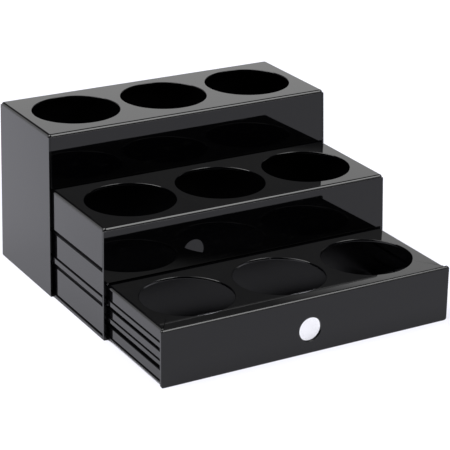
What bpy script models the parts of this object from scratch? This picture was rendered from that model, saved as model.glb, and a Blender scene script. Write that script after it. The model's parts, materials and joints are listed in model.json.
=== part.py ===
"""Three-step pull-out cup and lid organiser in gloss black plastic.

A bottomless housing stands at the back. A lower middle tier slides out from under it, and a still
lower drawer slides out of the middle tier, so that three stepped rows of round wells are open.
Every tier is put together from flat moulded plates: top plate, two ribbed sides, front and back.
Metres, +Z up, +X right, the tiers pull out towards -Y. The model stands fully open.
"""
import bpy
import bmesh
import numpy as np
from math import cos, pi, radians, sin, tan
from mathutils import Matrix

MM = 0.001

# Heights and depths of the three tiers, fully open
HOUSING_TOP = 176.5 * MM
MIDDLE_TOP = 118.0 * MM
DRAWER_TOP = 59.0 * MM
PANEL_TOP = 59.4 * MM
HOUSING_DEPTH = 125.5 * MM
MIDDLE_STEP = 123.1 * MM
DRAWER_STEP = 122.5 * MM

# Half widths of the top plates and of the drawer's front panel
HOUSING_HALF = 164.2 * MM
MIDDLE_HALF = 163.0 * MM
DRAWER_HALF = 160.7 * MM
PANEL_HALF = 164.0 * MM

# Plate thicknesses, and the joint line left between plates
PLATE = 3.0 * MM
FASCIA = 2.8 * MM
BACK = 2.0 * MM
HOUSING_WALL = 2.0 * MM
SEAM = 0.3 * MM
EDGE_ROUND = 1.2 * MM
PANEL_ROUND = 2.4 * MM

# Moulding draft: the plates lean outwards towards the open underside
SIDE_DRAFT = tan(radians(1.4))
FRONT_DRAFT = tan(radians(1.1))

# Wells
WELL_RADIUS = 46.8 * MM
WELL_PITCH = 104.0 * MM
HOUSING_WELL_INSET = 64.0 * MM
MIDDLE_WELL_INSET = 59.9 * MM
DRAWER_WELL_INSET = 61.0 * MM
WELL_SIDES = 96

# Drawer front panel
FINGER_RADIUS = 12.5 * MM
FINGER_HEIGHT = 25.2 * MM
FINGER_SIDES = 48

# Clearances of the moving tiers
TOP_GAP = 0.8 * MM
DRAWER_GAP = 1.3 * MM
LIP_RISE = 4.0 * MM
DRAWER_BASE = 2.2 * MM

# Ribbed sides: band edges as heights, and depths measured inwards from the side's outer plane
MIDDLE_RECESS = 1.4 * MM
MIDDLE_GROOVE = 2.3 * MM
MIDDLE_INNER = 3.2 * MM
DRAWER_RECESS = 2.5 * MM
DRAWER_GROOVE = 4.0 * MM
DRAWER_SKIN = 1.8 * MM
RIM = 3.3 * MM
MIDDLE_GROOVES = ((34.0 * MM, 39.0 * MM, 44.7 * MM), (72.2 * MM, 76.0 * MM, None))
DRAWER_GROOVES = ((16.2 * MM, 20.7 * MM, 26.5 * MM), (34.4 * MM, 37.7 * MM, 43.2 * MM))
RAIL_PLAY = 0.45 * MM
HOUSING_RAIL_DEPTH = 2.2 * MM
MIDDLE_RAIL_DEPTH = 3.6 * MM

# Positions along the pull-out direction
TOTAL_DEPTH = HOUSING_DEPTH + MIDDLE_STEP + DRAWER_STEP
DRAWER_FRONT = -TOTAL_DEPTH / 2
MIDDLE_FRONT = DRAWER_FRONT + DRAWER_STEP
HOUSING_FRONT = MIDDLE_FRONT + MIDDLE_STEP
HOUSING_BACK = HOUSING_FRONT + HOUSING_DEPTH
HOUSING_FASCIA_BASE = MIDDLE_TOP + TOP_GAP
MIDDLE_FASCIA_BASE = DRAWER_TOP + DRAWER_GAP


def draft_back_face(front, top, height):
    """Y of a leaning front plate's back face at a height."""
    return front - (top - height) * FRONT_DRAFT + FASCIA


MIDDLE_BACK_PANEL = draft_back_face(HOUSING_FRONT, HOUSING_TOP, MIDDLE_TOP + LIP_RISE) + SEAM
DRAWER_BACK_PANEL = draft_back_face(MIDDLE_FRONT, MIDDLE_TOP, DRAWER_TOP + LIP_RISE) + SEAM

GLOSS_BLACK = (0.012, 0.012, 0.013, 1.0)
SATIN_BLACK = (0.02, 0.02, 0.021, 1.0)


def start_clean():
    for item in list(bpy.data.objects):
        bpy.data.objects.remove(item, do_unlink=True)
    for name in ("cup_lid_organiser", "cutters"):
        bpy.context.scene.collection.children.link(bpy.data.collections.new(name))


def make_material(name, colour, roughness):
    material = bpy.data.materials.new(name)
    material.use_nodes = True
    shader = material.node_tree.nodes["Principled BSDF"]
    shader.inputs["Base Color"].default_value = colour
    shader.inputs["Roughness"].default_value = roughness
    shader.inputs["Metallic"].default_value = 0.0
    return material


def add_object(name, mesh, material, parent):
    """One named piece whose origin is the middle of its own box."""
    spots = read_spots(mesh)
    middle = (spots.min(axis=0) + spots.max(axis=0)) / 2
    write_spots(mesh, spots - middle)
    item = bpy.data.objects.new(name, mesh)
    item.location = middle - np.array(parent.location)
    item.data.materials.clear()
    item.data.materials.append(material)
    bpy.data.collections["cup_lid_organiser"].objects.link(item)
    item.parent = parent
    return item


def add_tier(name, front):
    """An empty on the floor at the front of one sliding tier, which carries the tier's pieces."""
    tier = bpy.data.objects.new(name, None)
    tier.empty_display_size = 0.05
    tier.location = (0.0, front, 0.0)
    bpy.data.collections["cup_lid_organiser"].objects.link(tier)
    return tier


def block_mesh(name, low, high):
    """A closed box between two corners."""
    mesh = bpy.data.meshes.new(name)
    cage = bmesh.new()
    bmesh.ops.create_cube(cage, size=1.0)
    size = np.subtract(high, low)
    bmesh.ops.scale(cage, vec=size, verts=cage.verts)
    bmesh.ops.translate(cage, vec=np.add(low, size / 2), verts=cage.verts)
    cage.to_mesh(mesh)
    cage.free()
    return mesh


def outline_mesh(name, points, depth, turn):
    """A flat outline pushed out both ways from its plane, turned into place, as a welded mesh."""
    curve = bpy.data.curves.new(name, "CURVE")
    curve.dimensions = "2D"
    curve.fill_mode = "BOTH"
    curve.extrude = depth / 2
    spline = curve.splines.new("POLY")
    spline.points.add(len(points) - 1)
    for point, (u, v) in zip(spline.points, points):
        point.co = (u, v, 0.0, 1.0)
    spline.use_cyclic_u = True
    holder = bpy.data.objects.new(name, curve)
    holder.rotation_euler = turn
    bpy.context.scene.collection.objects.link(holder)
    bpy.context.view_layer.update()
    evaluated = holder.evaluated_get(bpy.context.evaluated_depsgraph_get())
    mesh = bpy.data.meshes.new_from_object(evaluated)
    mesh.transform(holder.matrix_world)
    bpy.data.objects.remove(holder, do_unlink=True)
    bpy.data.curves.remove(curve)
    cage = bmesh.new()
    cage.from_mesh(mesh)
    bmesh.ops.remove_doubles(cage, verts=cage.verts, dist=0.00001)
    bmesh.ops.recalc_face_normals(cage, faces=cage.faces)
    cage.to_mesh(mesh)
    cage.free()
    return mesh


def across(name, points, low_y, high_y):
    """An outline in x and z, carried along y."""
    mesh = outline_mesh(name, points, high_y - low_y, (pi / 2, 0.0, 0.0))
    shift(mesh, (0.0, (low_y + high_y) / 2, 0.0))
    return mesh


def shift(mesh, offset):
    spots = read_spots(mesh) + np.array(offset)
    write_spots(mesh, spots)


def read_spots(mesh):
    spots = np.empty(len(mesh.vertices) * 3, np.float32)
    mesh.vertices.foreach_get("co", spots)
    return spots.reshape(-1, 3).astype(float)


def write_spots(mesh, spots):
    mesh.vertices.foreach_set("co", spots.astype(np.float32).ravel())
    mesh.update()


def lean(mesh, top, front_below=None):
    """Lean a plate with the moulding draft, growing downwards from the height of its tier's top.

    Points move outwards in x. Points whose y lies below front_below also move forwards.
    """
    spots = read_spots(mesh)
    drop = top - spots[:, 2]
    spots[:, 0] += np.sign(spots[:, 0]) * drop * SIDE_DRAFT
    if front_below is not None:
        front = spots[:, 1] < front_below
        spots[front, 1] -= drop[front] * FRONT_DRAFT
    write_spots(mesh, spots)


def rectangle(low_u, high_u, low_v, high_v):
    return [(low_u, low_v), (high_u, low_v), (high_u, high_v), (low_u, high_v)]


def cylinder_cutter(name, spots, radius, sides, height, tilt):
    """One cutter object holding a cylinder at each spot, upright or tilted about x."""
    mesh = bpy.data.meshes.new(name)
    cage = bmesh.new()
    for spot in spots:
        made = bmesh.ops.create_cone(cage, cap_ends=True, segments=sides, radius1=radius,
                                     radius2=radius, depth=height)
        bmesh.ops.rotate(cage, cent=(0, 0, 0), matrix=Matrix.Rotation(tilt, 3, "X"), verts=made["verts"])
        bmesh.ops.translate(cage, vec=spot, verts=made["verts"])
    cage.to_mesh(mesh)
    cage.free()
    cutter = bpy.data.objects.new(name, mesh)
    cutter.hide_render = True
    cutter.display_type = "WIRE"
    bpy.data.collections["cutters"].objects.link(cutter)
    return cutter


def cut(item, cutter):
    step = item.modifiers.new("cut_" + cutter.name, "BOOLEAN")
    step.operation = "DIFFERENCE"
    step.solver = "EXACT"
    step.object = cutter
    item.data.shade_smooth()
    item.data.set_sharp_from_angle(angle=radians(30))


def round_edges(item, width, segments):
    step = item.modifiers.new("rounded_edges", "BEVEL")
    step.width = width
    step.segments = segments
    step.limit_method = "ANGLE"
    step.angle_limit = radians(60)


def top_plate(name, half, front, back, top, well_y, parent, material):
    """A flat plate with rounded edges and three round wells through it."""
    mesh = block_mesh(name, (-half, front, top - PLATE), (half, back, top))
    plate = add_object(name, mesh, material, parent)
    round_edges(plate, EDGE_ROUND, 3)
    spots = [(number * WELL_PITCH, well_y, top - PLATE / 2) for number in (-1, 0, 1)]
    cut(plate, cylinder_cutter(name + "_wells", spots, WELL_RADIUS, WELL_SIDES, 4 * PLATE, 0.0))


def side_plates(tier, half, top, front, back, profile, parent, material, front_leans=True):
    """The left and right side of one tier from one profile of (depth inwards, height) points."""
    leaning_end = (front + back) / 2 if front_leans else None
    for side, sign in (("left", -1), ("right", 1)):
        name = f"{tier}_{side}_side"
        points = [(sign * (half - depth), height) for depth, height in profile]
        mesh = across(name, points, front, back)
        lean(mesh, top, leaning_end)
        add_object(name, mesh, material, parent)


def guide_rails(tier, parent, material, spans, inner_plane, depth, front, back):
    """Two straight rails on the inside of each side wall, one under the other."""
    for side, sign in (("left", -1), ("right", 1)):
        for level, (low, high) in zip(("lower", "upper"), spans):
            name = f"{tier}_{side}_{level}_rail"
            outer = inner_plane(high) - SEAM
            ends = sorted((sign * outer, sign * (outer - depth)))
            mesh = block_mesh(name, (ends[0], front, low), (ends[1], back, high))
            add_object(name, mesh, material, parent)


def back_panel(name, half, top, low, high, front, parent, material):
    mesh = across(name, rectangle(-half, half, low, high), front, front + BACK)
    lean(mesh, top)
    add_object(name, mesh, material, parent)


def rail_spans(grooves):
    return [(low + RAIL_PLAY, high - RAIL_PLAY) for low, high, _ in grooves]


def leaning_plane(half, top):
    """Half width of a leaning side plane as a function of height."""
    return lambda height: half + (top - height) * SIDE_DRAFT


def build_housing(gloss, satin):
    tier = add_tier("housing_body", HOUSING_FRONT)
    under = HOUSING_TOP - PLATE - SEAM
    top_plate("housing_top_plate", HOUSING_HALF, HOUSING_FRONT, HOUSING_BACK, HOUSING_TOP,
              HOUSING_FRONT + HOUSING_WELL_INSET, tier, gloss)
    side_plates("housing", HOUSING_HALF, HOUSING_TOP, HOUSING_FRONT, HOUSING_BACK,
                rectangle(0.0, HOUSING_WALL, 0.0, under), tier, gloss)
    inside = HOUSING_HALF - HOUSING_WALL - SEAM
    mesh = across("housing_fascia", rectangle(-inside, inside, HOUSING_FASCIA_BASE, under),
                  HOUSING_FRONT, HOUSING_FRONT + FASCIA)
    lean(mesh, HOUSING_TOP, HOUSING_BACK)
    add_object("housing_fascia", mesh, gloss, tier)
    back_panel("housing_back_panel", inside, HOUSING_TOP, 0.0, under, HOUSING_BACK - BACK, tier, gloss)
    guide_rails("housing", tier, satin, rail_spans(MIDDLE_GROOVES),
                leaning_plane(HOUSING_HALF - HOUSING_WALL, HOUSING_TOP), HOUSING_RAIL_DEPTH,
                HOUSING_FRONT, HOUSING_BACK - BACK - SEAM)


def middle_profile(under):
    """Outer face of the middle tier's side with its rim, recesses, grooves and rib, inner face flat."""
    (low_groove, low_rib, low_rib_top), (high_groove, high_rib, _) = MIDDLE_GROOVES
    return [
        (0.0, 0.0), (0.0, RIM),
        (MIDDLE_RECESS, RIM), (MIDDLE_RECESS, low_groove),
        (MIDDLE_GROOVE, low_groove), (MIDDLE_GROOVE, low_rib),
        (0.0, low_rib), (0.0, low_rib_top),
        (MIDDLE_RECESS, low_rib_top), (MIDDLE_RECESS, high_groove),
        (MIDDLE_GROOVE, high_groove), (MIDDLE_GROOVE, high_rib),
        (0.0, high_rib), (0.0, under),
        (MIDDLE_INNER, under), (MIDDLE_INNER, 0.0),
    ]


def build_middle(gloss, satin):
    tier = add_tier("middle_tier_body", MIDDLE_FRONT)
    under = MIDDLE_TOP - PLATE - SEAM
    back = MIDDLE_BACK_PANEL + BACK
    top_plate("middle_top_plate", MIDDLE_HALF, MIDDLE_FRONT, MIDDLE_BACK_PANEL - SEAM, MIDDLE_TOP,
              MIDDLE_FRONT + MIDDLE_WELL_INSET, tier, gloss)
    side_plates("middle", MIDDLE_HALF, MIDDLE_TOP, MIDDLE_FRONT + FASCIA + SEAM, back,
                middle_profile(under), tier, gloss)
    leg = MIDDLE_HALF - MIDDLE_INNER
    arch = [
        (-MIDDLE_HALF, 0.0), (-leg, 0.0), (-leg, MIDDLE_FASCIA_BASE), (leg, MIDDLE_FASCIA_BASE),
        (leg, 0.0), (MIDDLE_HALF, 0.0), (MIDDLE_HALF, under), (-MIDDLE_HALF, under),
    ]
    mesh = across("middle_fascia", arch, MIDDLE_FRONT, MIDDLE_FRONT + FASCIA)
    lean(mesh, MIDDLE_TOP, HOUSING_BACK)
    add_object("middle_fascia", mesh, gloss, tier)
    back_panel("middle_back_panel", leg - SEAM, MIDDLE_TOP, 0.0, MIDDLE_TOP + LIP_RISE,
               MIDDLE_BACK_PANEL, tier, gloss)
    guide_rails("middle", tier, satin, rail_spans(DRAWER_GROOVES),
                leaning_plane(MIDDLE_HALF - MIDDLE_INNER, MIDDLE_TOP), MIDDLE_RAIL_DEPTH,
                MIDDLE_FRONT + FASCIA + SEAM, MIDDLE_BACK_PANEL - SEAM)


def drawer_profile(under):
    """A thin wall that steps in and out: rim, recesses, grooves that bulge inwards, and ribs."""
    outer = [(0.0, DRAWER_BASE), (0.0, DRAWER_BASE + RIM), (DRAWER_RECESS, DRAWER_BASE + RIM)]
    inner = [(DRAWER_RECESS + DRAWER_SKIN, DRAWER_BASE)]
    for groove, rib, rib_top in DRAWER_GROOVES:
        outer += [(DRAWER_RECESS, groove), (DRAWER_GROOVE, groove), (DRAWER_GROOVE, rib),
                  (0.0, rib), (0.0, rib_top), (DRAWER_RECESS, rib_top)]
        inner += [(DRAWER_RECESS + DRAWER_SKIN, groove - DRAWER_SKIN),
                  (DRAWER_GROOVE + DRAWER_SKIN, groove - DRAWER_SKIN),
                  (DRAWER_GROOVE + DRAWER_SKIN, rib + DRAWER_SKIN),
                  (DRAWER_RECESS + DRAWER_SKIN, rib + DRAWER_SKIN)]
    outer += [(DRAWER_RECESS, under)]
    inner += [(DRAWER_RECESS + DRAWER_SKIN, under)]
    return outer + inner[::-1]


def front_panel_outline():
    """Section of the front panel in y and z, with its rounded top front edge."""
    y0, y1 = DRAWER_FRONT, DRAWER_FRONT + PLATE
    centre_y, centre_z = y0 + PANEL_ROUND, PANEL_TOP - PANEL_ROUND
    steps = 6
    arc = [(centre_y - PANEL_ROUND * cos(step * pi / 2 / steps),
            centre_z + PANEL_ROUND * sin(step * pi / 2 / steps)) for step in range(steps + 1)]
    return [(y1, 0.0), (y0, 0.0)] + arc + [(y1, PANEL_TOP)]


def build_drawer(gloss):
    tier = add_tier("front_drawer_body", DRAWER_FRONT)
    under = DRAWER_TOP - PLATE - SEAM
    body_front = DRAWER_FRONT + PLATE + SEAM
    back = DRAWER_BACK_PANEL + BACK
    top_plate("drawer_top_plate", DRAWER_HALF, body_front, DRAWER_BACK_PANEL - SEAM, DRAWER_TOP,
              DRAWER_FRONT + DRAWER_WELL_INSET, tier, gloss)
    side_plates("drawer", DRAWER_HALF, DRAWER_TOP, body_front, back,
                drawer_profile(under), tier, gloss, front_leans=False)
    inside = DRAWER_HALF - DRAWER_GROOVE - DRAWER_SKIN - SEAM
    back_panel("drawer_back_panel", inside, DRAWER_TOP, DRAWER_BASE, DRAWER_TOP + LIP_RISE,
               DRAWER_BACK_PANEL, tier, gloss)
    mesh = outline_mesh("drawer_front_panel", front_panel_outline(), 2 * PANEL_HALF,
                        (pi / 2, 0.0, pi / 2))
    panel = add_object("drawer_front_panel", mesh, gloss, tier)
    spot = [(0.0, DRAWER_FRONT + PLATE / 2, FINGER_HEIGHT)]
    cut(panel, cylinder_cutter("finger_hole", spot, FINGER_RADIUS, FINGER_SIDES, 4 * PLATE, pi / 2))


def main():
    start_clean()
    gloss = make_material("gloss_black_plastic", GLOSS_BLACK, 0.08)
    satin = make_material("satin_black_plastic", SATIN_BLACK, 0.35)
    build_housing(gloss, satin)
    build_middle(gloss, satin)
    build_drawer(gloss)


main()
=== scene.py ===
"""Looks of a three-step pull-out cup and lid organiser in gloss black plastic.

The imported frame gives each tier's place and outer size. Each tier is a class that holds its finer sizes,
builds its plates as welded numpy surfaces with exact normals, and dresses them. Metres, +Z up, +X right,
the tiers pull out towards -Y.
"""
import json
import logging
from collections.abc import Callable
from dataclasses import dataclass, field
from enum import Enum
from math import pi, radians, tan

import bpy
import numpy as np
from mathutils import Matrix, Vector


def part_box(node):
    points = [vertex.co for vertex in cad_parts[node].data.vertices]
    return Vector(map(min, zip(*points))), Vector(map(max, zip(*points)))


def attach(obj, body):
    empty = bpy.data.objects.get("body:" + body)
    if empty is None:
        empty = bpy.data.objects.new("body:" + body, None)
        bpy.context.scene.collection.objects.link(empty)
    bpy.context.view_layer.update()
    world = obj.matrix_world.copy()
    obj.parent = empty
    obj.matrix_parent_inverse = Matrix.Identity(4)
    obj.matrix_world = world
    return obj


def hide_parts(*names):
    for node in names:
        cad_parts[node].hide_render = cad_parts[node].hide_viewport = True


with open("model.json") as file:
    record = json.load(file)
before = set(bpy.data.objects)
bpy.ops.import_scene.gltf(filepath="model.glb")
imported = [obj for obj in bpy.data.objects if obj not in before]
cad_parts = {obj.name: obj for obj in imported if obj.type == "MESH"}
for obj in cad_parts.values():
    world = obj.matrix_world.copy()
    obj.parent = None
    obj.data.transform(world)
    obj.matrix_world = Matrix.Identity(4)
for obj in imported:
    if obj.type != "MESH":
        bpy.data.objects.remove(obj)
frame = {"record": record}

LOG = logging.getLogger("organiser")
MM = 0.001
SIDE_DRAFT = tan(radians(1.4))
FRONT_DRAFT = tan(radians(1.1))
FASCIA = 2.8 * MM
WELD = 0.001 * MM
WELD_OFFSET = 0.137
SENSOR_WIDTH = 36.0
Loop = tuple[np.ndarray, np.ndarray]


class Slot(Enum):
    """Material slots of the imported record."""

    GLOSS = "gloss_plates"
    SATIN = "satin_rails"


class Body(Enum):
    """Rigid bodies that the pieces ride on."""

    HOUSING = "housing"
    MIDDLE = "middle_tier"
    DRAWER = "front_drawer"


class Plane(Enum):
    """Where a flat section lies: its two axes, then the axis it is carried along."""

    XY = (0, 1, 2)
    XZ = (0, 2, 1)


# ---------------------------------------------------------------- surfaces


def place(plane: Plane, section: np.ndarray, along: np.ndarray) -> np.ndarray:
    """Put section coordinates and a third coordinate into row axes.

    Args:
        plane: which row axes the section uses.
        section: array (..., 2).
        along: array (...), the coordinate on the third axis.

    Returns:
        Array (..., 3) in row axes.
    """
    spots = np.empty(section.shape[:-1] + (3,))
    spots[..., plane.value[0]] = section[..., 0]
    spots[..., plane.value[1]] = section[..., 1]
    spots[..., plane.value[2]] = along
    return spots


def unit(vectors: np.ndarray) -> np.ndarray:
    """Vectors scaled to length one, with zero vectors left alone."""
    size = np.linalg.norm(vectors, axis=-1, keepdims=True)
    return np.divide(vectors, size, out=np.zeros_like(vectors), where=size > 1e-12)


def rounded_loop(corners: np.ndarray, radii: np.ndarray, steps: int = 5) -> Loop:
    """A closed section whose corners are arcs.

    Each corner is replaced by an arc that touches both of its edges. The arc's centre lies on the corner's
    bisector, at radius over the sine of half the corner angle, and its normals turn evenly from the normal
    of one edge to that of the next. A concave corner turns the other way, with its centre outside.

    Args:
        corners: array (n, 2), counter-clockwise.
        radii: array (n), the radius at each corner.
        steps: pieces that each arc is split into.

    Returns:
        Points (n * (steps + 1), 2) and outward normals of the same shape.
    """
    radii = np.broadcast_to(radii, len(corners)).astype(float)
    back = unit(np.roll(corners, 1, axis=0) - corners)
    ahead = unit(np.roll(corners, -1, axis=0) - corners)
    half = np.arccos(np.clip((back * ahead).sum(1), -1, 1)) / 2
    centre = corners + unit(back + ahead) * (radii / np.sin(half))[:, None]
    arriving = -back
    turn = np.arctan2(arriving[:, 0] * ahead[:, 1] - arriving[:, 1] * ahead[:, 0], (arriving * ahead).sum(1))
    start = np.arctan2(-arriving[:, 0], arriving[:, 1])
    angle = start[:, None] + turn[:, None] * np.linspace(0, 1, steps + 1)
    normals = np.stack([np.cos(angle), np.sin(angle)], axis=-1)
    points = centre[:, None] + np.sign(turn)[:, None, None] * radii[:, None, None] * normals
    return points.reshape(-1, 2), normals.reshape(-1, 2)


def edge_stations(low: float, high: float, low_round: float, high_round: float, steps: int = 4) -> np.ndarray:
    """Rows of a section carried between two flat ends with rounded edges.

    A row holds the place along the way, how far the section draws in, and the two parts of its normal. On
    each rounded edge the draw-in is the radius times one minus the cosine, and the place along the way is
    the radius times one minus the sine, counted from the end.

    Args:
        low: start of the way.
        high: end of the way.
        low_round: edge radius at the start.
        high_round: edge radius at the end.
        steps: pieces that each rounded edge is split into.

    Returns:
        Array (rows, 4): along, draw-in, outward part, part along the way.
    """
    angle = np.linspace(pi / 2, 0, steps + 1)
    first = np.stack([low + low_round * (1 - np.sin(angle)), low_round * (1 - np.cos(angle)),
                      np.cos(angle), -np.sin(angle)], axis=1)
    last = np.stack([high - high_round * (1 - np.sin(angle)), high_round * (1 - np.cos(angle)),
                     np.cos(angle), np.sin(angle)], axis=1)[::-1]
    return np.concatenate([first, last])


class Shell:
    """A closed surface put together from grids and flat caps, each with its exact normals."""

    def __init__(self) -> None:
        """Start with nothing in the shell."""
        self.spots: list[np.ndarray] = []
        self.normals: list[np.ndarray] = []
        self.faces: list[np.ndarray] = []
        self.caps: list[np.ndarray] = []
        self.count = 0

    def add_points(self, spots: np.ndarray, normals: np.ndarray) -> int:
        """Store points and their normals.

        Args:
            spots: array (..., 3).
            normals: array that broadcasts to the same shape.

        Returns:
            The number of the first point.
        """
        first = self.count
        self.spots.append(spots.reshape(-1, 3).copy())
        self.normals.append(unit(np.broadcast_to(normals, spots.shape)).reshape(-1, 3))
        self.count += len(self.spots[-1])
        return first

    def add_grid(self, spots: np.ndarray, normals: np.ndarray, keep: np.ndarray | None = None) -> None:
        """Add a band of rows that closes on itself along its columns.

        Args:
            spots: array (rows, columns, 3).
            normals: array that broadcasts to the same shape.
            keep: for each column, whether the face that starts there is made.
        """
        rows, columns = spots.shape[:2]
        first = self.add_points(spots, normals)
        grid = first + np.arange(rows * columns).reshape(rows, columns)
        beside = np.roll(grid, -1, axis=1)
        quads = np.stack([grid[:-1], beside[:-1], beside[1:], grid[1:]], axis=-1)
        if keep is not None:
            quads = quads[:, keep]
        self.faces.append(quads.reshape(-1, 4))

    def add_cap(self, spots: np.ndarray, normal: tuple[float, float, float]) -> None:
        """Close a flat loop of points with one face."""
        first = self.add_points(spots, np.array(normal, float))
        self.caps.append(first + np.arange(len(spots)))

    def carry(self, plane: Plane, loop: Loop, stations: np.ndarray) -> None:
        """Carry a closed section along the plane's third axis, and cap both ends.

        A point of the surface is the section's point drawn in along its normal by the station's amount.

        Args:
            plane: the section's plane.
            loop: the section's points and normals.
            stations: rows from edge_stations.
        """
        points, outward = loop
        along, inset, out_part, way_part = (stations[:, [number]] for number in range(4))
        spots = place(plane, points[None] - inset[..., None] * outward[None],
                      np.broadcast_to(along, (len(stations), len(points))))
        normals = place(plane, outward[None] * out_part[..., None],
                        np.broadcast_to(way_part, (len(stations), len(points))))
        self.add_grid(spots, normals)
        axis = np.zeros(3)
        axis[plane.value[2]] = 1.0
        self.add_cap(spots[0], -axis)
        self.add_cap(spots[-1], axis)

    def lean(self, top: float, half: float, sides: bool = True, front_limit: float | None = None) -> "Shell":
        """Lean the shell with the moulding draft, growing downwards from its tier's top.

        Sides move outwards by the drop times the draft, in the share x has of the half width. Points in
        front of the limit move forwards by the drop times the front draft. Normals turn by the same slopes.

        Args:
            top: height where the draft starts.
            half: half width at which the full side draft is reached.
            sides: whether the sides lean.
            front_limit: points whose y is below this lean forwards.

        Returns:
            The same shell.
        """
        for spots, normals in zip(self.spots, self.normals):
            drop = top - spots[:, 2]
            if sides:
                share = np.clip(spots[:, 0] / half, -1, 1)
                normals[:, 2] += normals[:, 0] * share * SIDE_DRAFT
                spots[:, 0] += share * drop * SIDE_DRAFT
            if front_limit is not None:
                front = spots[:, 1] < front_limit
                normals[front, 2] -= normals[front, 1] * FRONT_DRAFT
                spots[front, 1] -= drop[front] * FRONT_DRAFT
            normals[:] = unit(normals)
        return self

    def finish(self, name: str) -> bpy.types.Object:
        """Weld the shell, turn every face outwards and keep the exact normals at each face corner.

        Args:
            name: name of the new object.

        Returns:
            The object, at the origin, with its place in its mesh.
        """
        spots, normals = np.concatenate(self.spots), np.concatenate(self.normals)
        keys = np.round(spots / WELD + WELD_OFFSET).astype(np.int64)
        _, first, weld = np.unique(keys, axis=0, return_index=True, return_inverse=True)
        weld = weld.reshape(-1)
        quads = np.concatenate(self.faces)
        across_one = spots[quads[:, 2]] - spots[quads[:, 0]]
        across_two = spots[quads[:, 3]] - spots[quads[:, 1]]
        facing = (np.cross(across_one, across_two) * normals[quads].sum(1)).sum(1)
        quads[facing < 0] = quads[facing < 0][:, ::-1]
        caps = [self._outward(cap, spots, normals) for cap in self.caps]
        corners = np.concatenate([quads.reshape(-1)] + caps)
        mesh = bpy.data.meshes.new(name)
        mesh.from_pydata(spots[first].tolist(), [],
                         weld[quads].tolist() + [weld[cap].tolist() for cap in caps])
        mesh.shade_smooth()
        mesh.normals_split_custom_set(normals[corners].tolist())
        if mesh.validate(verbose=False):
            LOG.warning("%s had faces to repair", name)
        piece = bpy.data.objects.new(name, mesh)
        bpy.context.scene.collection.objects.link(piece)
        return piece

    @staticmethod
    def _outward(cap: np.ndarray, spots: np.ndarray, normals: np.ndarray) -> np.ndarray:
        """Order a cap's corners so that its area vector agrees with its normal.

        Args:
            cap: numbers of the corners.
            spots: all points.
            normals: all normals.

        Returns:
            The corners in order.
        """
        ring = spots[cap]
        area = np.cross(ring, np.roll(ring, -1, axis=0)).sum(0)
        return cap if area @ normals[cap[0]] > 0 else cap[::-1]


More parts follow.
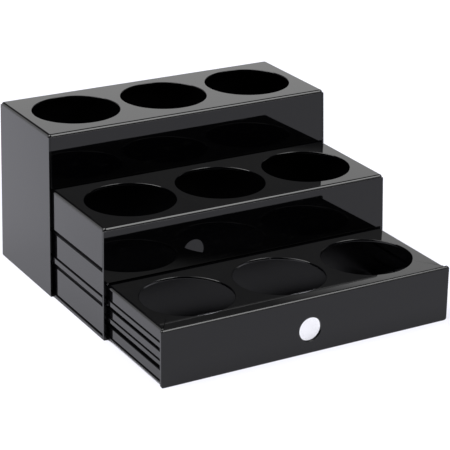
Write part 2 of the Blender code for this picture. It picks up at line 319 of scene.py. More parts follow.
@dataclass(frozen=True)
class PiercedPlate:
    """A flat plate in cells, each plain or with one round hole, and with rounded edges all round.

    The section's outline is a rectangle with rounded corners. Each cell's boundary is a rectangle walked
    counter-clockwise, and points that fall outside the plate's core are pushed out to the rounded outline.
    The holes' circles are walked in step with the boundaries, so that ring faces join the two.
    """

    low: tuple[float, float]
    high: tuple[float, float]
    splits: tuple[float, ...]
    holes: tuple[tuple[float, float] | None, ...]
    radius: float
    corner: float
    side_points: int = 40

    def boundary(self) -> tuple[np.ndarray, np.ndarray, np.ndarray]:
        """Cell boundaries on the plate's outline.

        Returns:
            Points (cells, n, 2), outward normals (cells, n, 2) that are zero inside the plate, and for
            each point whether the stretch that starts there lies on the plate's outline.
        """
        edges = np.array([self.low[0], *self.splits, self.high[0]])
        near = self.corner * (1 - np.tan(np.radians([45, 30, 15])))
        count = self.side_points - 5

        def side(length: np.ndarray) -> np.ndarray:
            """Distances along one side, closer together near its two ends."""
            middle = self.corner + (length[:, None] - 2 * self.corner) * np.linspace(0, 1, count)
            return np.concatenate([np.broadcast_to(near, (len(length), 3)), middle,
                                   length[:, None] - near[None, :0:-1]], axis=1)

        x0, x1 = edges[:-1, None], edges[1:, None]
        wide, deep = side((x1 - x0)[:, 0]), side(np.full(len(x0), self.high[1] - self.low[1]))
        y0, y1 = self.low[1], self.high[1]
        across = np.concatenate([x0 + wide, np.broadcast_to(x1, deep.shape), x1 - wide,
                                 np.broadcast_to(x0, deep.shape)], axis=1)
        up = np.concatenate([np.full_like(wide, y0), y0 + deep, np.full_like(wide, y1), y1 - deep], axis=1)
        square = np.stack([across, up], axis=-1)
        core = np.clip(square, np.array(self.low) + self.corner, np.array(self.high) - self.corner)
        outer = np.ones((len(x0), 4 * self.side_points), bool)
        outer[:-1, self.side_points:2 * self.side_points] = False
        outer[1:, 3 * self.side_points:] = False
        shared = ~outer & ~np.roll(outer, 1, axis=1)
        normals = np.where(shared[..., None], 0.0, unit(square - core))
        points = np.where(np.abs(normals).sum(-1, keepdims=True) > 0, core + self.corner * normals, square)
        return points, normals, outer

    @staticmethod
    def wall(plane: Plane, loop: Loop, radii: tuple[np.ndarray, np.ndarray], levels: tuple[float, float],
             steps: int) -> tuple[np.ndarray, np.ndarray]:
        """A wall between two planes, rounded where it meets each of them.

        On a rounded edge the wall draws in along its normal by the radius times one minus the cosine, and
        its place along the way is the radius times one minus the sine, counted from the plane.

        Args:
            plane: the plane of the section.
            loop: the wall's line and its outward normals.
            radii: for each plane, the edge radius at each point.
            levels: the places of the two planes.
            steps: pieces that each rounded edge is split into.

        Returns:
            Points (2 * steps + 2, n, 3) and normals of the same shape.
        """
        line, normal = loop
        angle = np.linspace(0, pi / 2, steps + 1)[:, None]
        spots, slopes = [], []
        for radius, level, other in zip(radii, levels, levels[::-1]):
            way = np.sign(level - other)
            spots.append(place(plane, line - normal * (radius * (1 - np.cos(angle)))[..., None],
                               level - way * radius * (1 - np.sin(angle))))
            slopes.append(place(plane, normal * np.cos(angle)[..., None],
                                way * np.sin(angle) * np.ones(len(line))))
        return tuple(np.concatenate([first[::-1], second]) for first, second in (spots, slopes))

    def build(self, plane: Plane, base: float, face: float, base_round: float,
              face_round: Callable[[np.ndarray], np.ndarray], lip: float, base_lip: float,
              steps: int = 6) -> Shell:
        """Make the plate between two parallel planes.

        Args:
            plane: the plane of its section.
            base: place of the plainer face on the third axis.
            face: place of the finer face.
            base_round: edge radius at the base face.
            face_round: gives the edge radius at the finer face for each outward normal.
            lip: radius of the hole's rounded rim on the finer face.
            base_lip: radius of its rim on the plainer face.
            steps: pieces that each rounded edge is split into.

        Returns:
            The closed shell.
        """
        shell = Shell()
        points, outward, outer = self.boundary()
        way = np.sign(face - base)
        axis = place(plane, np.zeros(2), np.array(way))
        depth = (self.high[1] - self.low[1]) / 2
        middle = (self.high[1] + self.low[1]) / 2
        inside = np.abs(outward).sum(-1) == 0
        turn = pi * (1.25 + np.arange(points.shape[1]) / points.shape[1] * 2)
        circle = np.stack([np.cos(turn), np.sin(turn)], axis=-1)
        even = np.ones(len(circle))
        for cell, hole in enumerate(self.holes):
            loop, normal = points[cell], outward[cell]
            face_edge, base_edge = face_round(normal), base_round * even
            for edge, radius, level, side in ((face_edge, lip, face, 1.0), (base_edge, base_lip, base, -1.0)):
                flat = loop - normal * edge[:, None]
                flat[inside[cell], 1] = middle + (flat[inside[cell], 1] - middle) * (1 - edge.max() / depth)
                if hole is None:
                    shell.add_cap(place(plane, flat, level * even), axis * side)
                    continue
                ring = np.stack([np.array(hole) + circle * (self.radius + radius), flat])
                shell.add_grid(place(plane, ring, np.full(ring.shape[:2], level)), axis * side)
            skirt = self.wall(plane, (loop, normal), (face_edge, base_edge), (face, base), steps)
            shell.add_grid(*skirt, outer[cell])
            if hole is not None:
                bore = (hole + circle * self.radius, -circle)
                shell.add_grid(*self.wall(plane, bore, (lip * even, base_lip * even), (face, base), steps))
        return shell


def box_loop(low_u: float, high_u: float, low_v: float, high_v: float, radii: float | list[float]) -> Loop:
    """A rectangle with rounded corners, from its low left corner counter-clockwise."""
    corners = np.array([(low_u, low_v), (high_u, low_v), (high_u, high_v), (low_u, high_v)])
    return rounded_loop(corners, radii)


def spline_loop(corners: list[tuple[float, float]], sign: float, radii: float | np.ndarray) -> Loop:
    """A section for the left or right side, mirrored in u by the sign and kept counter-clockwise.

    Args:
        corners: points (u, v) for the right side.
        sign: 1 for the right side, -1 for the left.
        radii: radius at each corner, or one for all.

    Returns:
        The rounded section.
    """
    points = np.array(corners) * np.array([sign, 1.0])
    radii = np.broadcast_to(radii, len(points))
    area = (points[:, 0] * np.roll(points[:, 1], -1) - points[:, 1] * np.roll(points[:, 0], -1)).sum()
    return rounded_loop(points, radii) if area > 0 else rounded_loop(points[::-1], radii[::-1])


def split_loop(loop: Loop, heights: list[float]) -> Loop:
    """Add points to a section where its straight stretches pass the given heights.

    Args:
        loop: the section.
        heights: heights to split at.

    Returns:
        The section with the added points, whose normals lie between their neighbours'.
    """
    points, normals = loop
    for height in heights:
        after, turned = np.roll(points, -1, axis=0), np.roll(normals, -1, axis=0)
        at = np.flatnonzero((points[:, 1] - height) * (after[:, 1] - height) < -1e-14)
        share = ((height - points[at, 1]) / (after[at, 1] - points[at, 1]))[:, None]
        normals = np.insert(normals, at + 1, unit(normals[at] + share * (turned[at] - normals[at])), axis=0)
        points = np.insert(points, at + 1, points[at] + share * (after[at] - points[at]), axis=0)
    return points, normals


# ---------------------------------------------------------------- materials


@dataclass
class Nodes:
    """Short hand for building a node tree."""

    tree: bpy.types.NodeTree

    def add(self, kind: str, **settings: object) -> bpy.types.Node:
        """Add a node of a kind with its settings."""
        node = self.tree.nodes.new(kind)
        for name, value in settings.items():
            setattr(node, name, value)
        return node

    def feed(self, node: bpy.types.Node, **sources: object) -> bpy.types.Node:
        """Link or set a node's inputs, named with underscores for spaces."""
        for name, value in sources.items():
            key = int(name[1:]) if name[0] == "i" and name[1:].isdigit() else name.replace("_", " ")
            socket = node.inputs[key]
            if isinstance(value, bpy.types.NodeSocket):
                self.tree.links.new(value, socket)
            else:
                socket.default_value = value
        return node

    def math(self, operation: str, *values: object, clamp: bool = False) -> bpy.types.NodeSocket:
        """A math node's result from two or three values."""
        node = self.add("ShaderNodeMath", operation=operation, use_clamp=clamp)
        return self.feed(node, **{f"i{number}": value for number, value in enumerate(values)}).outputs[0]

    def ramp(self, value: bpy.types.NodeSocket, low: float, high: float, start: float = 0.0,
             end: float = 1.0, smooth: bool = False) -> bpy.types.NodeSocket:
        """A value carried from the range low to high onto start to end, held at both ends."""
        node = self.add("ShaderNodeMapRange", interpolation_type="SMOOTHSTEP" if smooth else "LINEAR")
        return self.feed(node, Value=value, From_Min=low, From_Max=high, To_Min=start, To_Max=end).outputs[0]

    def noise(self, spot: bpy.types.NodeSocket, scale: object, detail: float,
              roughness: float = 0.5) -> bpy.types.NodeSocket:
        """A noise from 0 to 1 at a position."""
        node = self.feed(self.add("ShaderNodeTexNoise"), Vector=spot, Scale=scale, Detail=detail,
                         Roughness=roughness)
        return node.outputs["Fac"]

    def split(self, vector: bpy.types.NodeSocket) -> dict[str, bpy.types.NodeSocket]:
        """The three parts of a vector by name."""
        node = self.feed(self.add("ShaderNodeSeparateXYZ"), Vector=vector)
        return {item.name: item for item in node.outputs}

    def blend(self, share: bpy.types.NodeSocket, first: tuple[float, float, float],
              second: tuple[float, float, float]) -> bpy.types.NodeSocket:
        """A colour between two by a share."""
        node = self.add("ShaderNodeMix", data_type="RGBA")
        return self.feed(node, Factor=share, i6=(*first, 1.0), i7=(*second, 1.0)).outputs[2]


def new_group(name: str, inputs: dict[str, float], outputs: dict[str, str]) -> tuple[Nodes, dict, dict]:
    """A shader node group with a vector input and named numbers.

    Args:
        name: the group's name.
        inputs: names and first values of its number inputs.
        outputs: names and socket kinds of its outputs.

    Returns:
        The group's nodes, its input sockets and its output sockets by name.
    """
    tree = bpy.data.node_groups.new(name, "ShaderNodeTree")
    tree.interface.new_socket("Vector", in_out="INPUT", socket_type="NodeSocketVector")
    for label, value in inputs.items():
        tree.interface.new_socket(label, in_out="INPUT", socket_type="NodeSocketFloat").default_value = value
    for label, kind in outputs.items():
        tree.interface.new_socket(label, in_out="OUTPUT", socket_type=kind)
    nodes = Nodes(tree)
    source, sink = nodes.add("NodeGroupInput"), nodes.add("NodeGroupOutput")
    return nodes, {item.name: item for item in source.outputs if item.name}, {
        item.name: item for item in sink.inputs if item.name}


def build_fine_scuffs() -> bpy.types.NodeTree:
    """Hair-fine handling marks: two stretched noises, kept only where they are brightest.

    Returns:
        A group that gives a mask from 0 to 1.
    """
    nodes, given, result = new_group("fine_scuffs", {"Density": 0.5, "Scale": 60.0},
                                     {"Mask": "NodeSocketFloat"})
    masks = []
    for turn, stretch in ((0.4, (1.0, 14.0, 3.0)), (-0.9, (12.0, 1.0, 5.0))):
        turned = nodes.feed(nodes.add("ShaderNodeMapping"), Vector=given["Vector"],
                            Rotation=(0.0, 0.0, turn), Scale=stretch)
        masks.append(nodes.ramp(nodes.noise(turned.outputs[0], given["Scale"], 3.0, 0.6), 0.60, 0.78))
    both = nodes.math("MAXIMUM", *masks)
    nodes.tree.links.new(nodes.math("MULTIPLY", both, given["Density"], clamp=True), result["Mask"])
    return nodes.tree


def build_settled_dust() -> bpy.types.NodeTree:
    """Dust that settles on upward faces: sparse specks and a faint film, times how far the face looks up.

    Returns:
        A group that gives a mask from 0 to 1.
    """
    nodes, given, result = new_group("settled_dust", {"Amount": 0.3, "Speck Scale": 420.0},
                                     {"Mask": "NodeSocketFloat"})
    upward = nodes.split(nodes.add("ShaderNodeNewGeometry").outputs["Normal"])["Z"]
    cells = nodes.feed(nodes.add("ShaderNodeTexVoronoi"), Vector=given["Vector"], Scale=given["Speck Scale"])
    specks = nodes.ramp(cells.outputs["Distance"], 0.14, 0.06)
    rare = nodes.math("GREATER_THAN", nodes.split(cells.outputs["Color"])["X"], 0.93)
    film = nodes.ramp(nodes.noise(given["Vector"], 18.0, 4.0), 0.45, 0.75, 0.0, 0.25)
    total = nodes.math("ADD", nodes.math("MULTIPLY", specks, rare), film)
    lying = nodes.math("MULTIPLY", total, nodes.ramp(upward, 0.3, 0.95))
    nodes.tree.links.new(nodes.math("MULTIPLY", lying, given["Amount"], clamp=True), result["Mask"])
    return nodes.tree


def build_mould_ripple() -> bpy.types.NodeTree:
    """The slow waviness of moulded walls plus a fine grain, as a height.

    Returns:
        A group that gives a height from 0 to about 1.
    """
    nodes, given, result = new_group("mould_ripple", {"Wave": 1.0, "Grain": 0.1, "Grain Scale": 900.0},
                                     {"Height": "NodeSocketFloat"})
    waves = nodes.math("MULTIPLY", nodes.noise(given["Vector"], 16.0, 1.0), given["Wave"])
    fine = nodes.noise(given["Vector"], given["Grain Scale"], 2.0)
    nodes.tree.links.new(nodes.math("MULTIPLY_ADD", fine, given["Grain"], waves), result["Height"])
    return nodes.tree


@dataclass(frozen=True)
class Plastic:
    """A black moulded plastic and how it has been handled."""

    name: str
    colour: tuple[float, float, float]
    worn_colour: tuple[float, float, float]
    smooth: float
    scuffed: float
    ior: float
    wave_height: float
    grain: float
    scuff_density: float
    dust: float
    specular: float = 0.5

    def make(self, groups: dict[str, bpy.types.NodeTree]) -> bpy.types.Material:
        """Build the material from the shared groups.

        Args:
            groups: the node groups by name.

        Returns:
            The material.
        """
        material = bpy.data.materials.new(self.name)
        material.use_nodes = True
        nodes = Nodes(material.node_tree)
        shader = material.node_tree.nodes["Principled BSDF"]
        spot = nodes.add("ShaderNodeTexCoord").outputs["Object"]

        def grouped(name: str, **values: object) -> bpy.types.NodeSocket:
            """Place a shared group and give back its first output."""
            holder = nodes.add("ShaderNodeGroup")
            holder.node_tree = groups[name]
            nodes.feed(holder, Vector=spot, **values)
            return holder.outputs[0]

        scuffs = grouped("fine_scuffs", Density=self.scuff_density)
        dust = grouped("settled_dust", Amount=self.dust)
        height = grouped("mould_ripple", Grain=self.grain)
        cloud = nodes.ramp(nodes.noise(spot, 9.0, 5.0), 0.35, 0.7, 0.0, 0.5)
        marks = nodes.math("MAXIMUM", scuffs, dust)
        tint = nodes.blend(marks, self.colour, self.worn_colour)
        spread = nodes.math("MULTIPLY_ADD", cloud, 0.3, marks)
        rough = nodes.ramp(spread, 0.0, 1.0, self.smooth, self.scuffed)
        bump = nodes.feed(nodes.add("ShaderNodeBump"), Height=height, Strength=1.0,
                          Distance=self.wave_height)
        nodes.feed(shader, Base_Color=tint, Roughness=rough, Normal=bump.outputs[0],
                   IOR=self.ior, Specular_IOR_Level=self.specular)
        return material


GLOSS = Plastic("gloss_black_plastic", (0.0005, 0.0005, 0.0007), (0.010, 0.010, 0.010), 0.02, 0.10, 1.38,
                0.00004, 0.002, 0.25, 0.30)
SATIN = Plastic("satin_black_plastic", (0.004, 0.004, 0.0045), (0.03, 0.03, 0.03), 0.30, 0.50, 1.44,
                0.00006, 0.10, 0.5, 0.15)
INSIDE = Plastic("inner_black_plastic", (0.0005, 0.0005, 0.0007), (0.010, 0.010, 0.010), 0.22, 0.35, 1.38,
                 0.00004, 0.01, 0.25, 0.05, 0.30)
PANEL = Plastic("panel_black_plastic", (0.0005, 0.0005, 0.0007), (0.010, 0.010, 0.010), 0.17, 0.28, 1.38,
                0.00004, 0.01, 0.25, 0.30)
# Painted shade: a darker, barely reflective copy of the black plastic for recessed side faces, standing in
# for the shade in grooves and under ledges.
GROOVE_PAINTED_SHADE = Plastic("groove_painted_shade_plastic", (0.0010, 0.0010, 0.0012), (0.002, 0.002, 0.002), 0.35, 0.55, 1.44,
                 0.00004, 0.002, 0.25, 0.05, 0.02)


# ---------------------------------------------------------------- the organiser


@dataclass
class Bench:
    """What the tiers share: materials, and the fastening of a finished shell to the frame."""

    materials: dict[Slot, bpy.types.Material]
    painted_shade_material: bpy.types.Material
    inner_material: bpy.types.Material
    panel_material: bpy.types.Material
    made: list[bpy.types.Object] = field(default_factory=list)

    def mount(self, shell: Shell, name: str, body: Body, slot: Slot, *nodes: str,
              material: bpy.types.Material | None = None) -> bpy.types.Object:
        """Finish a shell, dress it, and fasten it to its body in place of its CAD nodes.

        Args:
            shell: the surface.
            name: name of the piece.
            body: the body it rides on.
            slot: the material slot it takes its finish from.
            nodes: CAD nodes that it stands for.
            material: a finish that differs from the slot's usual one.

        Returns:
            The piece.
        """
        piece = shell.finish(name)
        piece.data.materials.append(material or self.materials[slot])
        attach(piece, body.value)
        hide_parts(*nodes)
        self.made.append(piece)
        LOG.info("%s: %d faces on %s", name, len(piece.data.polygons), body.value)
        return piece


def opening_box(name: str) -> list[list[float]]:
    """The two corners of one of the record's openings."""
    return {item["name"]: item["box_m"] for item in frame["record"]["physics"]["openings"]}[name]


@dataclass
class Tier:
    """One nested box of the organiser: a pierced top plate, two sides, a front and a back."""

    name: str
    body: Body
    bench: Bench
    well_radius: float = 46.8 * MM
    edge_round: float = 3.1 * MM
    lip_round: float = 0.65 * MM
    under_lip: float = 1.2 * MM
    under_round: float = 0.05 * MM
    plate_corner: float = 3.6 * MM
    arris: float = 0.25 * MM
    rail_round: float = 0.6 * MM
    rail_end: float = 0.5 * MM
    side_corner: float = 0.32 * MM
    side_front_round: float = 0.25 * MM
    shade_depth: float = 0.3 * MM

    def __post_init__(self) -> None:
        """Read the top plate's place from the frame."""
        low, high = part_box(f"{self.name}_top_plate")
        self.half, self.top, self.under = high.x, high.z, low.z
        self.front, self.back = low.y, high.y

    def holes(self) -> tuple[tuple[float, float], ...]:
        """Centres of the three wells, from the record's openings."""
        boxes = [opening_box(f"{self.name}_{row_place}_well") for row_place in ("left", "centre", "right")]
        return tuple(((low[0] + high[0]) / 2, (low[1] + high[1]) / 2) for low, high in boxes)

    def build_top(self) -> None:
        """The top plate, with rounded outer edges and a rounded lip round each well."""
        holes = self.holes()
        splits = tuple((first[0] + second[0]) / 2 for first, second in zip(holes, holes[1:]))
        plate = PiercedPlate((-self.half, self.front), (self.half, self.back), splits, holes,
                             self.well_radius, self.plate_corner)
        shell = plate.build(Plane.XY, self.under, self.top, self.under_round, self.rounding,
                            self.lip_round, self.under_lip)
        node = f"{self.name}_top_plate"
        self.bench.mount(shell, node + "_moulded", self.body, Slot.GLOSS, node)

    def rounding(self, outward: np.ndarray) -> np.ndarray:
        """Edge radius of the top plate for each outward normal of its outline."""
        return np.full(len(outward), self.edge_round)

    def wall_inside(self, low: float, high: float) -> list[tuple[float, float]]:
        """Depth and height of the side wall's inner face, from the bottom up."""
        raise NotImplementedError

    def build_back(self) -> None:
        """The flat back panel, whose ends fit the side walls, leaning with them."""
        node = f"{self.name}_back_panel"
        low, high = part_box(node)
        edge = [(self.half - depth, level) for depth, level in self.wall_inside(low.z, high.z)]
        corners = np.array(edge + [(-across, level) for across, level in edge[::-1]])
        shell = Shell()
        shell.carry(Plane.XZ, rounded_loop(corners, self.arris),
                    edge_stations(low.y, high.y, self.arris / 2, self.arris / 2))
        self.bench.mount(shell.lean(self.top, self.half), node + "_moulded", self.body, Slot.GLOSS, node,
                         material=self.bench.inner_material)

    def build_rails(self) -> None:
        """The guide rails inside the sides: bars with rounded long edges and blunt rounded ends."""
        for side in ("left", "right"):
            for level in ("lower", "upper"):
                node = f"{self.name}_{side}_{level}_rail"
                low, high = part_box(node)
                shell = Shell()
                shell.carry(Plane.XZ, box_loop(low.x, high.x, low.z, high.z, self.rail_round),
                            edge_stations(low.y, high.y, self.rail_end, self.rail_end))
                self.bench.mount(shell, node + "_moulded", self.body, Slot.SATIN, node)

    def shaded_bands(self) -> list[tuple[float, float]]:
        """Heights between which the recessed parts of a side's outer face get painted shade: a darker, barely
        reflective finish standing in for the shade in grooves and under ledges.
        """
        return []

    def build_sides(self, profile: list[tuple[float, float]], radii: float | np.ndarray, leans: bool) -> None:
        """Both side plates from one profile of depth inwards and height.

        Args:
            profile: corners of the section.
            radii: corner radii.
            leans: whether the front end leans forwards.
        """
        for side, sign in (("left", -1.0), ("right", 1.0)):
            node = f"{self.name}_{side}_side"
            low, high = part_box(node)
            start = low.y + ((self.top - min(p[1] for p in profile)) * FRONT_DRAFT if leans else 0.0)
            section = spline_loop([(self.half - depth, level) for depth, level in profile], sign, radii)
            section = split_loop(section, [level for band in self.shaded_bands() for level in band])
            shell = Shell()
            shell.carry(Plane.XZ, section, edge_stations(start, high.y, self.side_front_round, self.arris))
            middle = (low.y + high.y) / 2
            shell.lean(self.top, self.half * 0.9, True, middle if leans else None)
            piece = self.bench.mount(shell, node + "_moulded", self.body, Slot.GLOSS, node)
            self.shade_grooves(piece)

    def shade_grooves(self, piece: bpy.types.Object) -> None:
        """Give a side's recessed faces within the shaded bands painted shade: a darker, barely reflective
        material standing in for the shade there.

        Args:
            piece: the finished side.
        """
        mesh = piece.data
        # Painted shade: the recessed faces within the bands take the dark, barely reflective material.
        mesh.materials.append(self.bench.painted_shade_material)
        centre, normal = np.empty(len(mesh.polygons) * 3), np.empty(len(mesh.polygons) * 3)
        mesh.polygons.foreach_get("center", centre)
        mesh.polygons.foreach_get("normal", normal)
        centre, normal = centre.reshape(-1, 3), normal.reshape(-1, 3)
        depth = self.half + (self.top - centre[:, 2]) * SIDE_DRAFT - np.abs(centre[:, 0])
        outward = normal[:, 0] * np.sign(centre[:, 0]) > -0.1
        chosen = np.zeros(len(centre), bool)
        for low, high in self.shaded_bands():
            chosen |= (centre[:, 2] > low) & (centre[:, 2] < high)
        chosen &= outward & (depth > self.shade_depth) & (np.abs(normal[:, 1]) < 0.5)
        mesh.polygons.foreach_set("material_index", chosen.astype(np.int32))
        mesh.update()


@dataclass
class Housing(Tier):
    """The tall rear tier that stands still."""

    wall: float = 2.0 * MM
    fascia_gap: float = 0.05 * MM
    fascia_corner: float = 0.35 * MM
    side_front_round: float = 0.09 * MM

    def wall_inside(self, low: float, high: float) -> list[tuple[float, float]]:
        """The housing's walls are plain inside."""
        return [(self.wall, low), (self.wall, high)]

    def build(self) -> None:
        """Build every plate of the housing."""
        self.build_top()
        under = self.under
        profile = [(0.0, 0.0), (0.0, under), (self.wall, under), (self.wall, 0.0)]
        self.build_sides(profile, np.array([0.6, 0.1, 0.1, 0.6]) * MM, True)
        self.build_fascia(under)
        self.build_back()
        self.build_rails()

    def build_fascia(self, under: float) -> None:
        """The upright strip between the sides, from the top plate down to just over the middle tier."""
        half = self.half - self.wall - self.fascia_gap
        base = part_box("housing_fascia")[0].z
        shell = Shell()
        shell.carry(Plane.XZ, box_loop(-half, half, base, under, self.fascia_corner),
                    edge_stations(self.front, self.front + FASCIA, self.arris, self.arris))
        shell.lean(self.top, half, True, self.back)
        self.bench.mount(shell, "housing_fascia_moulded", self.body, Slot.GLOSS, "housing_fascia")


@dataclass
class MiddleTier(Tier):
    """The tier that slides out of the housing, with grooved sides and an arch-shaped front."""

    recess: float = 1.4 * MM
    groove: float = 2.3 * MM
    inner: float = 3.2 * MM
    rim: float = 3.3 * MM
    drawer_gap: float = 1.3 * MM
    bands: tuple[float, ...] = (34.0 * MM, 39.0 * MM, 44.7 * MM, 72.2 * MM, 76.0 * MM)

    def wall_inside(self, low: float, high: float) -> list[tuple[float, float]]:
        """The middle tier's walls are plain inside."""
        return [(self.inner, low), (self.inner, high)]

    def shaded_bands(self) -> list[tuple[float, float]]:
        """Painted shade above the rim, round the lower groove, above the rib and round the upper groove."""
        low_groove, low_rib, low_rib_top, high_groove, high_rib = self.bands
        above, below = 1.5 * MM, 2.1 * MM
        return [(self.rim - 0.1 * MM, self.rim + above), (low_groove - 0.4 * MM, low_rib + 0.1 * MM),
                (low_rib_top - 0.1 * MM, low_rib_top + above), (high_groove - below, high_rib + 0.1 * MM)]

    def profile(self, under: float) -> list[tuple[float, float]]:
        """Section of a side: rim, recess, groove, rib, recess, groove and outer face."""
        low_groove, low_rib, low_rib_top, high_groove, high_rib = self.bands
        return [
            (0.0, 0.0), (0.0, self.rim), (self.recess, self.rim), (self.recess, low_groove),
            (self.groove, low_groove), (self.groove, low_rib), (0.0, low_rib), (0.0, low_rib_top),
            (self.recess, low_rib_top), (self.recess, high_groove), (self.groove, high_groove),
            (self.groove, high_rib), (0.0, high_rib), (0.0, under), (self.inner, under), (self.inner, 0.0)]

    def build(self) -> None:
        """Build every plate of the middle tier."""
        self.build_top()
        profile = self.profile(self.under)
        self.build_sides(profile, self.side_corner, True)
        self.build_fascia(self.under)
        self.build_back()
        self.build_rails()

    def build_fascia(self, under: float) -> None:
        """The front plate: a band under the top plate with a leg to the floor at each end."""
        leg = self.half - self.inner
        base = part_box("drawer_top_plate")[1].z + self.drawer_gap
        corners = np.array([(-self.half, 0.0), (-leg, 0.0), (-leg, base), (leg, base), (leg, 0.0),
                            (self.half, 0.0), (self.half, under), (-self.half, under)])
        shell = Shell()
        shell.carry(Plane.XZ, rounded_loop(corners, 0.5 * MM),
                    edge_stations(self.front, self.front + FASCIA, 0.45 * MM, 0.3 * MM))
        shell.lean(self.top, self.half, True, 1.0)
        self.bench.mount(shell, "middle_fascia_moulded", self.body, Slot.GLOSS, "middle_fascia")


@dataclass
class FrontDrawer(Tier):
    """The lowest tier, with deep grooved sides and a front panel with a finger hole."""

    recess: float = 1.3 * MM
    groove: float = 4.0 * MM
    inner: float = 4.3 * MM
    skin: float = 1.8 * MM
    rim: float = 1.8 * MM
    base: float = 2.2 * MM
    bands: tuple[tuple[float, float, float], ...] = (
        (15.4 * MM, 20.7 * MM, 25.0 * MM), (34.2 * MM, 38.4 * MM, 43.4 * MM))
    finger_radius: float = 12.5 * MM
    panel_round: float = 2.4 * MM

    def shaded_bands(self) -> list[tuple[float, float]]:
        """Painted shade above the rim, round each groove and above each rib."""
        bands = [(self.base + self.rim - 0.1 * MM, self.base + self.rim + 0.7 * MM)]
        for low, rib, rib_top in self.bands:
            bands += [(low - 1.2 * MM, rib + 0.1 * MM), (rib_top - 0.1 * MM, rib_top + 0.7 * MM)]
        return bands

    def profile(self, under: float) -> list[tuple[float, float]]:
        """Section of a side: a thin wall that steps in and out past two grooves and two ribs."""
        outer = [(0.0, self.base), (0.0, self.base + self.rim), (self.recess, self.base + self.rim)]
        for low, rib, rib_top in self.bands:
            outer += [(self.recess, low), (self.groove, low), (self.groove, rib), (0.0, rib),
                      (0.0, rib_top), (self.recess, rib_top)]
        return outer + [(self.recess, under)] + self.wall_inside(self.base, under)[::-1]

    def wall_inside(self, low: float, high: float) -> list[tuple[float, float]]:
        """The drawer's walls bulge inwards round each groove."""
        inside, deep = self.inner, self.groove + self.skin
        line = [(inside, low)]
        for start, rib, _ in self.bands:
            line += [(inside, start - self.skin), (deep, start - self.skin), (deep, rib + self.skin),
                     (inside, rib + self.skin)]
        return line + [(inside, high)]

    def rounding(self, outward: np.ndarray) -> np.ndarray:
        """The top plate's front edge stays nearly sharp where it meets the panel."""
        return 0.15 * MM + (self.edge_round - 0.15 * MM) * np.clip(1.0 + outward[:, 1], 0, 1) ** 2

    def build(self) -> None:
        """Build every plate of the drawer."""
        self.build_top()
        self.build_sides(self.profile(self.under), self.side_corner, False)
        self.build_panel()
        self.build_back()

    def build_panel(self) -> None:
        """The front panel: a rounded top edge, softened sides and a round finger hole."""
        low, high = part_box("drawer_front_panel")
        height = sum(corner[2] for corner in opening_box("finger_hole")) / 2
        cell = 2.0 * self.finger_radius
        plate = PiercedPlate((low.x, low.z), (high.x, high.z), (-cell, cell), (None, (0.0, height), None),
                             self.finger_radius, 2.5 * MM)

        def rounding(outward: np.ndarray) -> np.ndarray:
            """Edge radius that grows from the sides to the full round on the upper edge."""
            return 0.7 * MM + (self.panel_round - 0.7 * MM) * np.clip(outward[:, 1], 0, 1) ** 2

        shell = plate.build(Plane.XZ, high.y, low.y, 0.3 * MM, rounding, 0.5 * MM, 0.3 * MM)
        self.bench.mount(shell, "drawer_front_panel_moulded", self.body, Slot.GLOSS, "drawer_front_panel",
                         material=self.bench.panel_material)


# ---------------------------------------------------------------- the studio


@dataclass(frozen=True)
class Softbox:
    """A wide lamp overhead, as a rectangle on a ceiling one unit above the table."""

    across: tuple[float, float]
    along: tuple[float, float]
    fade: float
    lowest: float
    strength: float


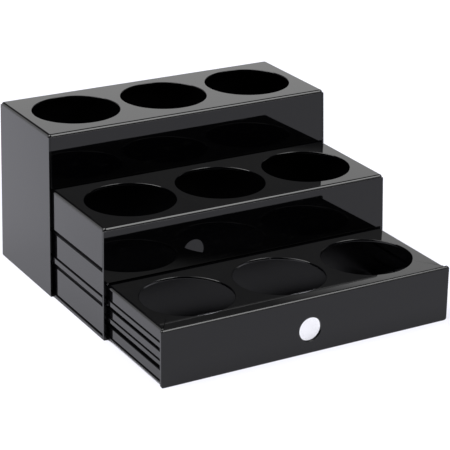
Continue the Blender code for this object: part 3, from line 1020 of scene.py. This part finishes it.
@dataclass(frozen=True)
class Studio:
    """Floor, surroundings and camera."""

    dim: float = 0.10
    backdrop: float = 1.06
    backdrop_edge: tuple[float, float] = (0.394, 0.412)
    backdrop_start: tuple[float, float] = (-0.35, 0.05)
    least_height: float = 0.02
    lamp_ramp: float = 0.008
    softboxes: tuple[Softbox, ...] = (
        Softbox((0.42, 1.5), (-2.7, -1.25), 0.08, 0.357, 3.0),
        Softbox((0.20, 0.76), (-1.25, -0.02), 0.08, 0.361, 8.5),
        Softbox((-1.50, -0.24), (-0.20, 0.60), 0.08, 0.361, 10.0),
    )
    floor_colour: tuple[float, float, float] = (0.20, 0.20, 0.22)
    # Painted shade: the floor's dark colour where the organiser closes it in.
    painted_shade_colour: tuple[float, float, float] = (0.01, 0.01, 0.01)
    glow_colour: tuple[float, float, float, float] = (0.93, 0.93, 1.0, 1.0)
    floor_glow: tuple[float, float] = (0.82, 0.70)
    # Painted light: across this span of x the floor's glow drops from its left strength to its right
    # strength.
    painted_light_side: tuple[float, float] = (-0.185, -0.150)
    open_sky: tuple[float, float] = (0.22, 0.33)
    floor_edge: float = 6.0
    floor_level: float = -0.2 * MM
    sky_reach: float = 0.25
    eye: tuple[float, float, float] = (-0.86420, -1.54093, 0.77873)
    ahead: tuple[float, float, float] = (0.457092, 0.807592, -0.372641)
    upward: tuple[float, float, float] = (0.17487, 0.329192, 0.927929)
    lens: float = 145.217

    def build(self) -> None:
        """Make the floor, the light and the camera."""
        self.build_floor()
        self.build_light()
        self.build_camera()

    def build_floor(self) -> None:
        """A pale table top under the organiser that glows a little, more on its left as painted light, and
        has painted shade, dark with no glow, where it is closed in.
        """
        edge, rows = self.floor_edge, 25
        across, deep = np.meshgrid(np.linspace(-edge, edge, rows), np.linspace(-edge, edge, rows))
        spots = np.stack([across.ravel(), deep.ravel(), np.full(across.size, self.floor_level)], axis=1)
        number = np.arange(len(spots)).reshape(across.shape)
        quads = np.stack([number[:-1, :-1], number[:-1, 1:], number[1:, 1:], number[1:, :-1]], axis=-1)
        mesh = bpy.data.meshes.new("pale_table")
        mesh.from_pydata(spots.tolist(), [], quads.reshape(-1, 4).tolist())
        floor = bpy.data.objects.new("pale_table", mesh)
        bpy.context.scene.collection.objects.link(floor)
        material = bpy.data.materials.new("pale_table")
        material.use_nodes = True
        nodes = Nodes(material.node_tree)
        shader = material.node_tree.nodes["Principled BSDF"]
        nodes.feed(shader, Roughness=1.0, Specular_IOR_Level=0.0)
        # Painted shade: where ambient occlusion finds the floor closed in, the floor turns dark and loses its
        # glow.
        sky = nodes.feed(nodes.add("ShaderNodeAmbientOcclusion", samples=24), Distance=self.sky_reach)
        unshaded_share = nodes.ramp(sky.outputs["AO"], *self.open_sky)
        parts = nodes.split(nodes.add("ShaderNodeTexCoord").outputs["Object"])
        # Painted light: the glow is stronger on the organiser's left, standing in for light falling from that
        # side.
        glow = nodes.ramp(parts["X"], *self.painted_light_side, *self.floor_glow)
        nodes.feed(shader, Base_Color=nodes.blend(unshaded_share, self.painted_shade_colour, self.floor_colour),
                   Emission_Color=self.glow_colour, Emission_Strength=nodes.math("MULTIPLY", glow, unshaded_share))
        mesh.materials.append(material)

    def build_light(self) -> None:
        """Soft surroundings: a pale backdrop behind the table, a dim ceiling, and softboxes in it."""
        world = bpy.data.worlds.new("soft_studio")
        world.use_nodes = True
        bpy.context.scene.world = world
        nodes = Nodes(world.node_tree)
        parts = nodes.split(nodes.add("ShaderNodeTexCoord").outputs["Generated"])
        height = nodes.math("MAXIMUM", parts["Z"], self.least_height)
        spots = [nodes.math("DIVIDE", parts[axis], height) for axis in ("X", "Y")]
        back = nodes.ramp(parts["Z"], *self.backdrop_edge, self.backdrop, 0.0, smooth=True)
        behind = nodes.ramp(parts["Y"], *self.backdrop_start, smooth=True)
        total = nodes.math("MULTIPLY_ADD", back, behind, self.dim)
        for lamp in self.softboxes:
            share = nodes.ramp(parts["Z"], lamp.lowest, lamp.lowest + self.lamp_ramp, 0.0, lamp.strength,
                               smooth=True)
            for spot, (low, high) in zip(spots, (lamp.across, lamp.along)):
                for edge, way in ((low, 1.0), (high, -1.0)):
                    inner = nodes.ramp(spot, edge - way * lamp.fade, edge, smooth=True)
                    share = nodes.math("MULTIPLY", inner, share)
            total = nodes.math("ADD", share, total)
        background = world.node_tree.nodes["Background"]
        nodes.feed(background, Color=(1.0, 1.0, 1.0, 1.0), Strength=total)

    def build_camera(self) -> None:
        """The camera in front, to the left and above, without shift or depth of field."""
        lens = bpy.data.cameras.new("camera")
        lens.lens = self.lens
        lens.sensor_width = SENSOR_WIDTH
        lens.clip_start, lens.clip_end = 0.05, 30.0
        camera = bpy.data.objects.new("camera", lens)
        bpy.context.scene.collection.objects.link(camera)
        ahead = Vector(self.ahead).normalized()
        right = ahead.cross(Vector(self.upward)).normalized()
        turn = Matrix((right, right.cross(ahead), -ahead)).transposed().to_4x4()
        camera.matrix_world = Matrix.Translation(self.eye) @ turn
        bpy.context.scene.camera = camera
        bpy.context.scene.view_settings.view_transform = "Standard"


def main() -> None:
    """Build the tiers in order, then the studio."""
    logging.basicConfig(level=logging.INFO, format="%(name)s: %(message)s")
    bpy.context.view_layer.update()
    groups = {tree.name: tree for tree in (build_fine_scuffs(), build_settled_dust(), build_mould_ripple())}
    bench = Bench({Slot.GLOSS: GLOSS.make(groups), Slot.SATIN: SATIN.make(groups)},
                  GROOVE_PAINTED_SHADE.make(groups), INSIDE.make(groups), PANEL.make(groups))
    for tier in (Housing("housing", Body.HOUSING, bench), MiddleTier("middle", Body.MIDDLE, bench),
                 FrontDrawer("drawer", Body.DRAWER, bench)):
        tier.build()
        LOG.info("%s finished", tier.name)
    Studio().build()


if __name__ == "__main__":
    main()
